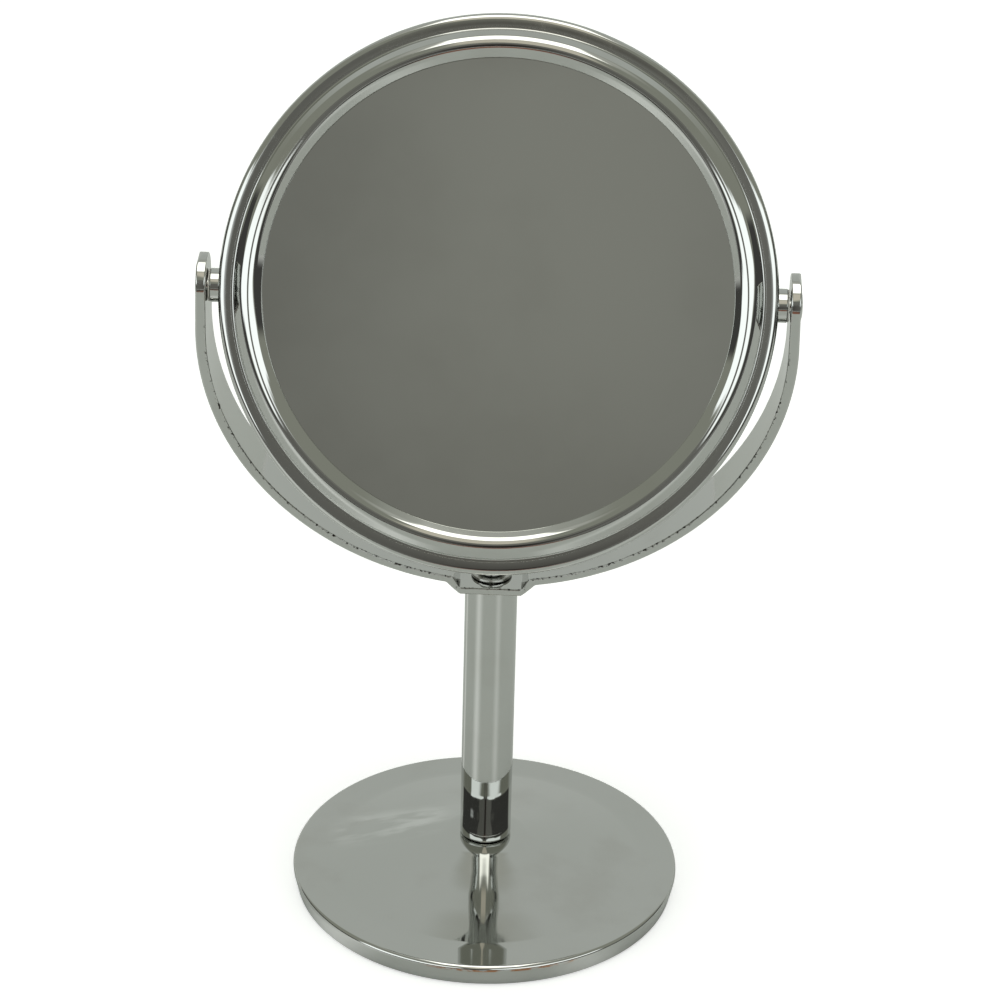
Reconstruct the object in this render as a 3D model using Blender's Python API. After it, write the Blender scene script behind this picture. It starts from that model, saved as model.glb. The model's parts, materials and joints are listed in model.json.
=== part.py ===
"""Countertop mirror: a round two-sided mirror head that turns in a U-shaped yoke on a weighted stand.

The frame stands on Z = 0 with the column on the Z axis, the pivot axis along X, and the plain
mirror facing -Y. Lengths below are in millimetres and are turned into metres by MM.
"""

import math

import bmesh
import bpy
from mathutils import Vector

MM = 0.001
GAP = 0.3

# Driving dimensions: stand
BASE_RADIUS = 61.0
BASE_FOOT_RADIUS = 59.4
RIM_HEIGHT = 7.4
RIM_ROUNDING = 1.5
CONE = ((8.3, 17.5), (10.4, 17.4), (12.2, 17.05), (14.0, 16.55), (22.0, 14.17), (36.0, 10.94),
        (49.5, 7.6), (51.0, 7.42))
SHELL_WALL = 1.2
SHELL_FOOT = 0.6
SHELL_SHOULDER = (1.3, 5.5)
SEAT_HEIGHT = CONE[0][1]
PAD_THICKNESS = 1.5
PAD_RADIUS = 57.6
WEIGHT_RADIUS = 57.0
WEIGHT_EDGE_DROP = 0.4
COUNTERBORE_RADIUS = 10.5
COUNTERBORE_TOP = 9.0

COLUMN_RADIUS = 8.0
COLUMN_WALL = 1.0
COLUMN_EDGE = 1.0
PLUG_LENGTH = 16.0

# Driving dimensions: yoke
PIVOT_HEIGHT = 203.8
YOKE_CENTRE_DROP = 11.1
YOKE_OUTER = (88.3, 81.8)
YOKE_INNER = (85.2, 79.5)
YOKE_EAR_OUTSIDE = 88.1
YOKE_WIDTH = 18.0
YOKE_EDGE = 0.5
EAR_TOP_ROUNDING = 1.6
EAR_RISE = 0.7
HUB_BOTTOM = 107.9
HUB_SEAT = 110.2
HUB_OUTER_BLEND = (8.9, 13.8)
HUB_INNER_BLEND = (9.0, 11.8)

# Driving dimensions: mirror head, with heights measured from its middle plane along its axis
HEAD_TILT = math.radians(25.1)
HOOP_RADIUS = 81.8
HOOP_BORE = 79.2
HOOP_LIP_RADIUS = 78.2
HOOP_LIP_DEPTH = 1.6
HOOP_LIP_EDGE = 0.2
HOOP_HALF_DEPTH = 6.8
HOOP_ROUNDING = 1.8
BEZEL_INNER = 68.9
BEZEL_OUTER = 77.9
BEZEL_SKIRT_END = 4.7
BEZEL_WALL = 1.3
BEAD_CENTRE = (73.1, 7.3)
BEAD_RADIUS = 3.1
BEAD_ARC = (145, 40)
BEAD_INSIDE_ARC = (30, 150)
BEAD_STEPS = 8
VALLEY_START = (77.2, 7.2)
VALLEY_MIDDLE = (77.5, 6.93)
LIP_BOTTOM = 6.2
LIP_SIDE = 0.55
LIP_EDGE = 0.2
GLASS_RADIUS = 72.5
GLASS_FACE = 5.9
GLASS_THICKNESS = 3.0
REAR_GLASS_THICKNESS = 2.8
REAR_GLASS_DISH = 3.4
DISH_STEPS = 4
CORE_HALF_DEPTH = 1.2
CORE_RADII = (66.0, 75.2)
FOAM_RING_INNER = 70.5
FOAM_THICKNESS = 1.0

# Driving dimensions: fasteners and pivots
BASE_SCREW_RADIUS = 2.9
BASE_SCREW_HOLE = 3.4
BASE_SCREW_HEAD_CORNER = 5.0
BASE_SCREW_END = 33.8
BASE_WASHER_RADIUS = 9.6
LOCK_WASHER_RADIUS = 5.6
LOCK_WASHER_SPLIT = 0.9
BASE_WASHER_THICKNESS = 1.4
SCREW_POINT = (0.7, 1.0)
YOKE_SCREW_RADIUS = 2.45
YOKE_SCREW_END = 94.0
YOKE_SCREW_HEAD_RADIUS = 4.3
YOKE_SCREW_HEAD_SIDE = 0.9
YOKE_SCREW_HEAD_DOME = 2.0
YOKE_SCREW_RECESS = (4.6, 0.9, 3.0)
YOKE_WASHER_RADIUS = 6.2
YOKE_WASHER_THICKNESS = 0.9
PIVOT_PIN_RADIUS = 2.0
PIN_HEAD_RADIUS = 4.2
PIN_HEAD_SIDE = 0.15
PIN_HEAD_HEIGHT = 0.55
SPACER_RADIUS = 5.0
SPACER_CHAMFER = 0.2
PIVOT_WASHER_RADIUS = 4.8
PIVOT_WASHER_THICKNESS = 0.4
PIVOT_NUT_CORNER = 4.04
PIVOT_NUT_LENGTH = 3.2

RING_STEPS = 60
SMALL_STEPS = 24
SHARP = math.radians(35)

CHROME = ((0.56, 0.57, 0.55), 0.06, 1.0)
STEEL = ((0.45, 0.45, 0.44), 0.32, 1.0)
BRASS = ((0.70, 0.53, 0.25), 0.30, 1.0)
IRON = ((0.12, 0.12, 0.12), 0.60, 1.0)
FOAM = ((0.03, 0.03, 0.03), 0.90, 0.0)
CARD = ((0.30, 0.27, 0.22), 0.85, 0.0)
SILVERED = ((0.60, 0.61, 0.58), 0.02, 1.0)
NYLON = ((0.75, 0.74, 0.70), 0.45, 0.0)


def clear_scene():
    for obj in list(bpy.data.objects):
        bpy.data.objects.remove(obj, do_unlink=True)


def material(name, look):
    colour, roughness, metallic = look
    made = bpy.data.materials.new(name + "_material")
    made.use_nodes = True
    shader = made.node_tree.nodes["Principled BSDF"]
    shader.inputs["Base Color"].default_value = (*colour, 1.0)
    shader.inputs["Roughness"].default_value = roughness
    shader.inputs["Metallic"].default_value = metallic
    return made


def place(obj, look, parent=None, location=(0.0, 0.0, 0.0), rotation=(0.0, 0.0, 0.0)):
    bpy.context.scene.collection.objects.link(obj)
    obj.parent = parent
    obj.location = Vector(location) * MM
    obj.rotation_euler = rotation
    if look is not None:
        obj.data.materials.append(material(obj.name, look))
    return obj


def arc(centre, radius, start, end, steps):
    """Points of a circular arc, with the angles in degrees."""
    angles = [math.radians(start + (end - start) * i / steps) for i in range(steps + 1)]
    return [(centre[0] + radius * math.cos(a), centre[1] + radius * math.sin(a)) for a in angles]


def finish_mesh(builder, name):
    """Turns a bmesh into a mesh with outward faces that is smooth but for its sharp edges."""
    bmesh.ops.recalc_face_normals(builder, faces=builder.faces)
    mesh = bpy.data.meshes.new(name)
    builder.to_mesh(mesh)
    builder.free()
    mesh.shade_smooth()
    mesh.set_sharp_from_angle(angle=SHARP)
    return mesh


def turned_mesh(name, profile, steps):
    """Spins a closed outline of (radius, height) points once round the Z axis."""
    builder = bmesh.new()
    points = [builder.verts.new((r * MM, 0.0, z * MM)) for r, z in profile]
    edges = []
    for first, second in zip(points, points[1:] + points[:1]):
        on_axis = abs(first.co.x) < 1e-9 and abs(second.co.x) < 1e-9
        if not on_axis:
            edges.append(builder.edges.new((first, second)))
    bmesh.ops.spin(
        builder, geom=points + edges, cent=(0, 0, 0), axis=(0, 0, 1), angle=2 * math.pi,
        steps=steps, use_merge=True, use_duplicate=False,
    )
    bmesh.ops.remove_doubles(builder, verts=builder.verts, dist=1e-6)
    return finish_mesh(builder, name)


def turned(name, profile, look, steps=SMALL_STEPS, **where):
    mesh = turned_mesh(name, profile, steps)
    return place(bpy.data.objects.new(name, mesh), look, **where)


def ring(name, inner, outer, bottom, top, look, steps=SMALL_STEPS, **where):
    profile = [(inner, bottom), (outer, bottom), (outer, top), (inner, top)]
    return turned(name, profile, look, steps, **where)


def prism_mesh(name, outline, low, high, along):
    """Extrudes a closed outline, whose points are the two coordinates other than along."""
    builder = bmesh.new()
    axis = "XYZ".index(along)
    travel = Vector((0.0, 0.0, 0.0))
    travel[axis] = (high - low) * MM
    corners = []
    for pair in outline:
        corner = list(pair)
        corner.insert(axis, low)
        corners.append(builder.verts.new(Vector(corner) * MM))
    face = builder.faces.new(corners)
    grown = bmesh.ops.extrude_face_region(builder, geom=[face], use_keep_orig=True)
    moved = [item for item in grown["geom"] if isinstance(item, bmesh.types.BMVert)]
    bmesh.ops.translate(builder, verts=moved, vec=travel)
    return finish_mesh(builder, name)


def cutter(name, mesh, **where):
    tool = place(bpy.data.objects.new(name, mesh), None, **where)
    tool.hide_render = True
    tool.display_type = "WIRE"
    return tool


def rod_mesh(name, radius, length, steps=SMALL_STEPS):
    half = length / 2
    return turned_mesh(name, [(0, -half), (radius, -half), (radius, half), (0, half)], steps)


def hexagon_mesh(name, corner, low, high):
    angles = [math.radians(60 * i) for i in range(6)]
    outline = [(corner * math.cos(a), corner * math.sin(a)) for a in angles]
    return prism_mesh(name, outline, low, high, "Z")


def block_mesh(name, size):
    x, y, z = (side / 2 for side in size)
    outline = [(-x, -z), (x, -z), (x, z), (-x, z)]
    return prism_mesh(name, outline, -y, y, "Y")


def boolean(obj, tool, operation="DIFFERENCE"):
    step = obj.modifiers.new(tool.name, "BOOLEAN")
    step.operation = operation
    step.solver = "EXACT"
    step.object = tool


# Stand


def base_shell():
    """Pressed shell: a hollow-sided cone, a flat rim band, and a wall that tapers in."""
    rounding = arc((BASE_RADIUS - RIM_ROUNDING, RIM_HEIGHT - RIM_ROUNDING), RIM_ROUNDING, 90, 0, 3)
    inner_wall = BASE_FOOT_RADIUS - SHELL_WALL
    profile = [
        (BASE_SCREW_HOLE, SEAT_HEIGHT),
        *CONE,
        *rounding,
        (BASE_FOOT_RADIUS, SHELL_FOOT),
        (inner_wall, SHELL_FOOT),
        (inner_wall + SHELL_SHOULDER[0], SHELL_SHOULDER[1]),
        (inner_wall, RIM_HEIGHT - SHELL_WALL),
        *[(r, z - SHELL_WALL) for r, z in reversed(CONE)],
        (BASE_SCREW_HOLE, SEAT_HEIGHT - SHELL_WALL),
    ]
    turned("base_shell", profile, CHROME, RING_STEPS)


def base_weight():
    """Iron disc that fills the shell, with a bore for the screw and a counterbore for its head."""
    bottom = PAD_THICKNESS + GAP
    below_shell = SHELL_WALL + GAP
    profile = [
        (BASE_SCREW_HOLE, SEAT_HEIGHT - below_shell),
        *[(r, z - below_shell) for r, z in CONE],
        (WEIGHT_RADIUS, RIM_HEIGHT - below_shell - WEIGHT_EDGE_DROP),
        (WEIGHT_RADIUS, bottom),
        (COUNTERBORE_RADIUS, bottom),
        (COUNTERBORE_RADIUS, COUNTERBORE_TOP),
        (BASE_SCREW_HOLE, COUNTERBORE_TOP),
    ]
    turned("base_weight", profile, IRON, RING_STEPS)


def base_pad():
    profile = [(0, 0), (PAD_RADIUS, 0), (PAD_RADIUS, PAD_THICKNESS), (0, PAD_THICKNESS)]
    turned("base_pad", profile, FOAM, RING_STEPS)


def base_fasteners():
    """Hexagon screw from below, with a lock washer and a wide flat washer under its head."""
    thickness = BASE_WASHER_THICKNESS
    washer_top = COUNTERBORE_TOP - GAP
    lock_top = washer_top - thickness - GAP
    head_top = lock_top - thickness - GAP
    head_bottom = PAD_THICKNESS + 2 * GAP
    bore = BASE_SCREW_RADIUS + GAP
    ring("base_washer", bore, BASE_WASHER_RADIUS, washer_top - thickness, washer_top, STEEL)
    lock = ring("base_lock_washer", bore, LOCK_WASHER_RADIUS, lock_top - thickness, lock_top, STEEL)
    width = LOCK_WASHER_RADIUS - bore + 2
    slot = block_mesh("split", (width, LOCK_WASHER_SPLIT, 3 * thickness))
    middle = ((bore + LOCK_WASHER_RADIUS) / 2, 0, lock_top - thickness / 2)
    boolean(lock, cutter("base_lock_washer_split", slot, location=middle))
    screw = turned("base_screw", [
        (0, head_bottom), (BASE_SCREW_RADIUS, head_bottom),
        (BASE_SCREW_RADIUS, BASE_SCREW_END - SCREW_POINT[1]),
        (BASE_SCREW_RADIUS - SCREW_POINT[0], BASE_SCREW_END),
        (0, BASE_SCREW_END),
    ], STEEL)
    head = hexagon_mesh("base_screw_head", BASE_SCREW_HEAD_CORNER, head_bottom, head_top)
    boolean(screw, cutter("base_screw_hexagon", head), "UNION")


def column():
    """Tube with a slightly rounded foot, and a threaded plug pressed into each end."""
    bottom = SEAT_HEIGHT + GAP
    top = HUB_BOTTOM - GAP
    inner = COLUMN_RADIUS - COLUMN_WALL
    foot = arc((COLUMN_RADIUS - COLUMN_EDGE, bottom + COLUMN_EDGE), COLUMN_EDGE, -90, 0, 3)
    profile = [(inner, bottom), *foot, (COLUMN_RADIUS, top), (inner, top)]
    turned("column_tube", profile, CHROME, 40)
    plug = inner - GAP
    ring("column_foot_plug", BASE_SCREW_RADIUS + GAP, plug, bottom, bottom + PLUG_LENGTH, STEEL)
    ring("column_top_plug", YOKE_SCREW_RADIUS + GAP, plug, top - PLUG_LENGTH, top, STEEL)


def blend(level, flat, x, limits):
    """Moves a height to the flat hub inside limits[0], easing out to no change at limits[1]."""
    t = (limits[1] - abs(x)) / (limits[1] - limits[0])
    t = min(1.0, max(0.0, t))
    ease = t * t * (3 - 2 * t)
    return level * (1 - ease) + flat * ease


def bow(radii, flat, limits, steps):
    """Lower half of the yoke's ellipse from the right arm to the left, stepped down at the hub."""
    centre = PIVOT_HEIGHT - YOKE_CENTRE_DROP
    angles = [math.pi * i / steps for i in range(steps + 1)]
    near_hub = [math.acos(x / radii[0]) for x in (limits[1], limits[0], -limits[0], -limits[1])]
    middle = [math.acos(s * (limits[0] + (limits[1] - limits[0]) * k) / radii[0])
              for s in (1, -1) for k in (0.25, 0.5, 0.75)]
    keep = [a for a in angles if abs(radii[0] * math.cos(a)) > limits[1] + 1.0]
    points = []
    for angle in sorted(keep + near_hub + middle):
        x = radii[0] * math.cos(angle)
        z = centre - radii[1] * math.sin(angle)
        points.append((x, blend(z, flat, x, limits)))
    return points


def yoke():
    """Flat bar bent to a U, with rounded ears at the pivots and a stepped-down hub."""
    ear_centre = PIVOT_HEIGHT + EAR_RISE
    top = ear_centre + YOKE_WIDTH / 2
    inner_x = YOKE_INNER[0]
    outer_x = YOKE_EAR_OUTSIDE
    corner = arc((outer_x - EAR_TOP_ROUNDING, top - EAR_TOP_ROUNDING), EAR_TOP_ROUNDING, 0, 90, 3)
    right = [(outer_x, PIVOT_HEIGHT), *corner, (inner_x, top)]
    left = [(-x, z) for x, z in reversed(right)]
    inner = bow(YOKE_INNER, HUB_SEAT, HUB_INNER_BLEND, 40)
    outer = bow(YOKE_OUTER, HUB_BOTTOM, HUB_OUTER_BLEND, 40)
    outline = right + inner + left + outer[::-1]
    half = YOKE_WIDTH / 2
    mesh = prism_mesh("yoke", outline, -half, half, "Y")
    bar = place(bpy.data.objects.new("yoke", mesh), CHROME)
    edges = bar.modifiers.new("edge_rounding", "BEVEL")
    edges.width = YOKE_EDGE * MM
    edges.segments = 1
    edges.limit_method = "ANGLE"
    edges.angle_limit = math.radians(60)
    clear = half + 1
    below = HUB_BOTTOM - 5
    side = arc((0, ear_centre), half, 0, 180, 20)
    side += [(-clear, ear_centre), (-clear, below), (clear, below), (clear, ear_centre)]
    width = outer_x + 10
    ears = cutter("yoke_side_outline", prism_mesh("yoke_side", side, -width, width, "X"))
    boolean(bar, ears, "INTERSECT")
    bore = rod_mesh("pivot_bore", PIVOT_PIN_RADIUS + GAP, 2 * width)
    boolean(bar, cutter("yoke_pivot_bore", bore, location=(0, 0, PIVOT_HEIGHT),
                        rotation=(0, math.pi / 2, 0)))
    hole = rod_mesh("hub_hole", YOKE_SCREW_RADIUS + GAP, YOKE_WIDTH)
    boolean(bar, cutter("yoke_hub_hole", hole, location=(0, 0, HUB_SEAT)))


def yoke_fasteners():
    """Pan-head screw with a cross recess that holds the hub on the column, and its flat washer."""
    washer_bottom = HUB_SEAT + GAP
    washer_top = washer_bottom + YOKE_WASHER_THICKNESS
    under_head = washer_top + GAP
    ring("yoke_washer", YOKE_SCREW_RADIUS + GAP, YOKE_WASHER_RADIUS, washer_bottom, washer_top, STEEL)
    shoulder = under_head + YOKE_SCREW_HEAD_SIDE
    crown = shoulder + YOKE_SCREW_HEAD_DOME
    dome = [(YOKE_SCREW_HEAD_RADIUS * math.cos(a), shoulder + YOKE_SCREW_HEAD_DOME * math.sin(a))
            for a in (math.radians(18 * i) for i in range(5))]
    narrowing, point = SCREW_POINT
    profile = [(0, YOKE_SCREW_END), (YOKE_SCREW_RADIUS - narrowing, YOKE_SCREW_END),
               (YOKE_SCREW_RADIUS, YOKE_SCREW_END + point), (YOKE_SCREW_RADIUS, under_head),
               (YOKE_SCREW_HEAD_RADIUS, under_head), *dome, (0, crown)]
    screw = turned("yoke_screw", profile, STEEL)
    length, width, depth = YOKE_SCREW_RECESS
    for name, size in (("across", (length, width, depth)), ("along", (width, length, depth))):
        slot = block_mesh("recess_" + name, size)
        boolean(screw, cutter("yoke_screw_recess_" + name, slot, location=(0, 0, crown)))


# Mirror head


def head_axis():
    """Empty on the pivot axis; its +Z is the way the plain mirror faces, and its +Y is up."""
    empty = bpy.data.objects.new("head_axis", None)
    turn = (math.pi / 2 - HEAD_TILT, 0, 0)
    return place(empty, None, location=(0, 0, PIVOT_HEIGHT), rotation=turn)


def head_hoop(head):
    """Outer ring of the head, with a small lip at each face that a bezel fits inside."""
    high = HOOP_HALF_DEPTH
    outside = arc((HOOP_RADIUS - HOOP_ROUNDING, high - HOOP_ROUNDING), HOOP_ROUNDING, 90, 0, 3)
    front = [(HOOP_BORE, high - HOOP_LIP_DEPTH), (HOOP_LIP_RADIUS, high - HOOP_LIP_DEPTH),
             (HOOP_LIP_RADIUS, high - HOOP_LIP_EDGE), (HOOP_LIP_RADIUS + HOOP_LIP_EDGE, high),
             *outside]
    rear = [(r, -z) for r, z in reversed(front)]
    hoop = turned("head_hoop", front + rear, CHROME, RING_STEPS, parent=head)
    bore = rod_mesh("pin_bore", PIVOT_PIN_RADIUS + GAP, 3 * HOOP_RADIUS)
    boolean(hoop, cutter("head_hoop_pin_bore", bore, parent=head, rotation=(0, math.pi / 2, 0)))


def bezel_profile():
    """A lip over the glass, a raised bead, a soft valley, and a skirt that snaps into the hoop."""
    lip = [(BEZEL_INNER, LIP_BOTTOM), (BEZEL_INNER, LIP_BOTTOM + LIP_SIDE),
           (BEZEL_INNER + LIP_EDGE, LIP_BOTTOM + LIP_SIDE + LIP_EDGE)]
    bead = arc(BEAD_CENTRE, BEAD_RADIUS, *BEAD_ARC, BEAD_STEPS)
    valley = [VALLEY_START, VALLEY_MIDDLE, (BEZEL_OUTER, HOOP_HALF_DEPTH)]
    skirt_inner = BEZEL_OUTER - BEZEL_WALL
    skirt = [(BEZEL_OUTER, BEZEL_SKIRT_END), (skirt_inner, BEZEL_SKIRT_END),
             (skirt_inner, HOOP_HALF_DEPTH - BEZEL_WALL)]
    inside = arc(BEAD_CENTRE, BEAD_RADIUS - BEZEL_WALL, *BEAD_INSIDE_ARC, BEAD_STEPS // 2)
    return [*lip, *bead, *valley, *skirt, *inside, (inside[-1][0], LIP_BOTTOM)]


def bezels(head):
    """The same ring on both sides of the head; the rear one is turned over."""
    front = turned("front_bezel", bezel_profile(), CHROME, RING_STEPS, parent=head)
    rear = bpy.data.objects.new("rear_bezel", front.data.copy())
    rear.data.materials.clear()
    place(rear, CHROME, parent=head, rotation=(math.pi, 0, 0))


def front_glass(head):
    back = GLASS_FACE - GLASS_THICKNESS
    profile = [(0, back), (GLASS_RADIUS, back), (GLASS_RADIUS, GLASS_FACE), (0, GLASS_FACE)]
    turned("front_glass", profile, SILVERED, RING_STEPS, parent=head)


def rear_glass(head):
    """Magnifying mirror: a slumped disc whose hollow side faces out of the back of the head."""
    def dish(edge):
        radii = [GLASS_RADIUS * i / DISH_STEPS for i in range(DISH_STEPS + 1)]
        return [(r, edge + REAR_GLASS_DISH * (1 - (r / GLASS_RADIUS) ** 2)) for r in radii]
    outside = dish(-GLASS_FACE)
    inside = dish(-GLASS_FACE + REAR_GLASS_THICKNESS)
    turned("rear_glass", outside + inside[::-1], SILVERED, RING_STEPS, parent=head)


def packing(head):
    """A core ring between the mirrors, a card behind the plain one and foam behind the other."""
    inner, outer = CORE_RADII
    low = CORE_HALF_DEPTH + GAP
    high = GLASS_FACE - GLASS_THICKNESS - GAP
    ring("core_ring", inner, outer, -CORE_HALF_DEPTH, CORE_HALF_DEPTH, NYLON, RING_STEPS,
         parent=head)
    card = [(0, low), (outer, low), (outer, high), (0, high)]
    turned("front_backing_card", card, CARD, RING_STEPS, parent=head)
    ring("rear_foam_ring", FOAM_RING_INNER, outer, -low - FOAM_THICKNESS, -low, FOAM, RING_STEPS,
         parent=head)


# Pivots


def pivot(name, side, head):
    """One side's pin, nut, spacer and friction washer, on the X axis.

    The profiles run outwards along the pivot axis, with heights measured from the head's centre.
    """
    turn = (0, side * math.pi / 2, 0)
    bore = PIVOT_PIN_RADIUS + GAP
    washer_end = YOKE_INNER[0] - GAP
    washer_start = washer_end - PIVOT_WASHER_THICKNESS
    spacer_start = HOOP_RADIUS + GAP
    spacer_end = washer_start - GAP
    nut_end = HOOP_BORE - GAP
    nut_start = nut_end - PIVOT_NUT_LENGTH
    crown_start = YOKE_EAR_OUTSIDE + GAP
    crown = [(PIN_HEAD_RADIUS, crown_start), (PIN_HEAD_RADIUS, crown_start + PIN_HEAD_SIDE),
             (PIN_HEAD_RADIUS * 0.8, crown_start + PIN_HEAD_HEIGHT * 0.78),
             (PIN_HEAD_RADIUS * 0.45, crown_start + PIN_HEAD_HEIGHT * 0.95)]
    pin = [(0, nut_start), (PIVOT_PIN_RADIUS, nut_start), (PIVOT_PIN_RADIUS, crown_start), *crown,
           (0, crown_start + PIN_HEAD_HEIGHT)]
    turned("pivot_pin_" + name, pin, CHROME, parent=head, rotation=turn)
    spacer = [(bore, spacer_start), (SPACER_RADIUS, spacer_start),
              (SPACER_RADIUS, spacer_end - SPACER_CHAMFER),
              (SPACER_RADIUS - SPACER_CHAMFER, spacer_end), (bore, spacer_end)]
    turned("pivot_spacer_" + name, spacer, CHROME, parent=head, rotation=turn)
    nut_mesh = hexagon_mesh("pivot_nut_" + name, PIVOT_NUT_CORNER, nut_start, nut_end)
    nut = place(bpy.data.objects.new("pivot_nut_" + name, nut_mesh), BRASS, parent=head,
                rotation=turn)
    hole = rod_mesh("nut_hole", bore, 4 * HOOP_RADIUS)
    boolean(nut, cutter("pivot_nut_hole_" + name, hole, parent=head, rotation=turn))
    ring("pivot_washer_" + name, bore, PIVOT_WASHER_RADIUS, washer_start, washer_end, NYLON,
         location=(0, 0, PIVOT_HEIGHT), rotation=turn)


def build_mirror():
    clear_scene()
    base_shell()
    base_weight()
    base_pad()
    base_fasteners()
    column()
    yoke()
    yoke_fasteners()
    head = head_axis()
    head_hoop(head)
    bezels(head)
    front_glass(head)
    rear_glass(head)
    packing(head)
    pivot("right", 1, head)
    pivot("left", -1, head)


build_mirror()
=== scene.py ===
"""Looks of the countertop mirror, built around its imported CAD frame.

Lengths are in millimetres until a mesh is made, where MM turns them into metres. The column stands
on the Z axis, the pivot axis runs along X, and the plain mirror faces -Y at rest. The head's pieces
are modelled about the Z axis with the plain mirror facing up, then turned into place.
"""

import json
import math

import bmesh
import bpy
from mathutils import Matrix, Vector


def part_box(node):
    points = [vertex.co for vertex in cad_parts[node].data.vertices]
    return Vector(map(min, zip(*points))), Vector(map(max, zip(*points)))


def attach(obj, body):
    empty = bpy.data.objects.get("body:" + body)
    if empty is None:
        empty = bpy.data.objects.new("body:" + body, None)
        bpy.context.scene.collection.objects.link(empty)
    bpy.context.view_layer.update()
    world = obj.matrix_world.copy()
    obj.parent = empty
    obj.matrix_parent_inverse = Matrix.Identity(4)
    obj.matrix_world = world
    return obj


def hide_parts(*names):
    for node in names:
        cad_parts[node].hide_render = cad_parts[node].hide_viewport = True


MM = 0.001

# Meshes: steps in a full turn or in a rounding, and two tolerances in metres.
RING_STEPS = 288
SMALL_STEPS = 96
ROUNDING_STEPS = 6
SHARP_ANGLE = math.radians(40)
NORMAL_WEIGHT = 80
MERGE_DISTANCE = 1e-6
ON_AXIS = 1e-9

# The head leans back by this at rest.
HEAD_TILT = math.radians(25.1)

# Base shell: the cone is (radius, height) of its upper face, from the seat out to the rim band.
# The side's inner corner is (distance in from the widest radius, height).
CONE = [(6, 17.3), (8.2, 17.3), (9.8, 17.28), (11.2, 17.14), (12.6, 16.85), (14.2, 16.36), (18, 15.24),
        (22, 14.1), (27, 12.8), (32, 11.66), (37, 10.53), (43, 9.06), (49.5, 7.47)]
SEAT_HOLE_RADIUS = 3.4
RIM_HEIGHT = 7.4
RIM_ROUNDING = 1.5
RIM_BLEND_RADIUS = 14.0
SHELL_THICKNESS = 1.2
SIDE_TAPER = 1.6
SIDE_INSIDE_CORNER = (1.5, 5.5)

# Column: its ends sink a little into the pieces they touch.
COLUMN_WALL = 1.0
COLUMN_SINK = 0.25
COLUMN_FOOT_ROUNDING = 0.9
COLUMN_TOP_ROUNDING = 0.1

# Yoke: the bow follows two ellipses, given as (half width, depth) below their centre. Its edges
# are rounded by YOKE_EDGE, or by a share of the half width where the bar is very narrow. Each ramp
# is the distance from the middle at which the hub's flat ends and at which the bow begins.
YOKE_CENTRE_DROP = 11.1
YOKE_INNER = (85.2, 79.5)
YOKE_OUTER = (88.3, 81.8)
YOKE_EDGE = 0.45
YOKE_EDGE_LIMIT = 0.9
EAR_TOP_ROUNDING = 1.6
EAR_RISE = 0.7
EAR_SINK = 0.2
EAR_ARC_START = 88
EAR_STEPS = 29
BOW_STEPS = 180
HUB_FINE_STEPS = 80
HUB_FINE_ANGLE = math.radians(0.125)
HUB_SEAT = 110.2
HUB_BOTTOM = 107.9
HUB_INNER_RAMP = (9.0, 11.8)
HUB_OUTER_RAMP = (8.9, 13.8)
HUB_HOLE_RADIUS = 2.75
HUB_HOLE_HEIGHTS = (100, 120)
PIVOT_BORE_RADIUS = 2.3
PIVOT_BORE_REACH = 100

# Yoke screw and washer: the tip's bevel is (inwards, upwards), the recess is the length, width and
# depth of each of its two slots, and the washer's edges are its bottom and top roundings.
SCREW_SHANK_RADIUS = 2.45
SCREW_TIP_BEVEL = (0.7, 1.0)
SCREW_HEAD_HEIGHT = 2.9
SCREW_HEAD_BEVEL = 0.25
SCREW_DOME_HEIGHT = 2.0
SCREW_DOME_STEPS = 16
SCREW_RECESS = (4.6, 0.9, 3.0)
WASHER_EDGES = (0.15, 0.3)

# Head hoop: heights and depths are measured from its middle plane.
HOOP_HALF_WIDTH = 6.8
HOOP_INSIDE = 77.95
HOOP_GROOVE = 79.2
HOOP_LIP = 1.6
HOOP_ROUNDING = 1.8
HOOP_INSIDE_ROUNDING = 0.05

# Bezels: points are (radius, height above the head's middle plane) and angles are in degrees.
LIP_RADIUS = 68.9
LIP_BACK = 6.0
LIP_BACK_RADIUS = 70.6
LIP_TOP = 7.65
LIP_ROUNDING = 0.35
BEAD_CENTRE = (72.8, 6.5)
BEAD_RADIUS = 3.5
BEAD_ANGLES = (133, 44)
BEAD_STEPS = 48
BEZEL_THICKNESS = 1.3
BEAD_INSIDE_ANGLES = (30, 140)
VALLEY_CENTRE = (77.45, 7.25)
VALLEY_RADIUS = 0.45
VALLEY_ANGLES = (222, 270)
SKIRT_RADII = (76.6, 77.93)
SKIRT_TOP = 6.8
SKIRT_BOTTOM = 4.7
SKIRT_INSIDE_TOP = 5.5

# Mirrors: heights are measured from the head's middle plane, and the edges are the back and face
# roundings.
GLASS_RADIUS = 72.5
FRONT_GLASS_HEIGHTS = (2.9, 5.9)
FRONT_GLASS_EDGES = (0.2, 0.4)
REAR_GLASS_HEIGHTS = (-5.9, -3.1)
DISH_DEPTH = 3.4
DISH_STEPS = 24

# Pivots: lengths run outwards along the pivot axis, and the dome's start is in degrees.
PIN_START = 75.7
PIN_RADIUS = 2.0
PIN_HEAD_RADIUS = 4.2
PIN_HEAD_WALL = 0.25
PIN_DOME_RADIUS = 4.15
PIN_DOME_RISE = 0.3
PIN_DOME_START = 8
PIN_DOME_STEPS = 14
SPACER_SINK_HOOP = 0.6
SPACER_SINK_EAR = 0.2
SPACER_ROUNDING = 0.25

# Camera: its place, lens and sensor are in millimetres and its clipping distance is in metres.
CAMERA_SPOT = (27.9, -997.1, 669.6)
CAMERA_HEADING = math.radians(1.49)
CAMERA_PITCH = math.radians(28.15)
CAMERA_ROLL = math.radians(1.47)
CAMERA_LENS = 135.2
CAMERA_SENSOR = 36
CAMERA_CLIP_END = 50

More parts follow.
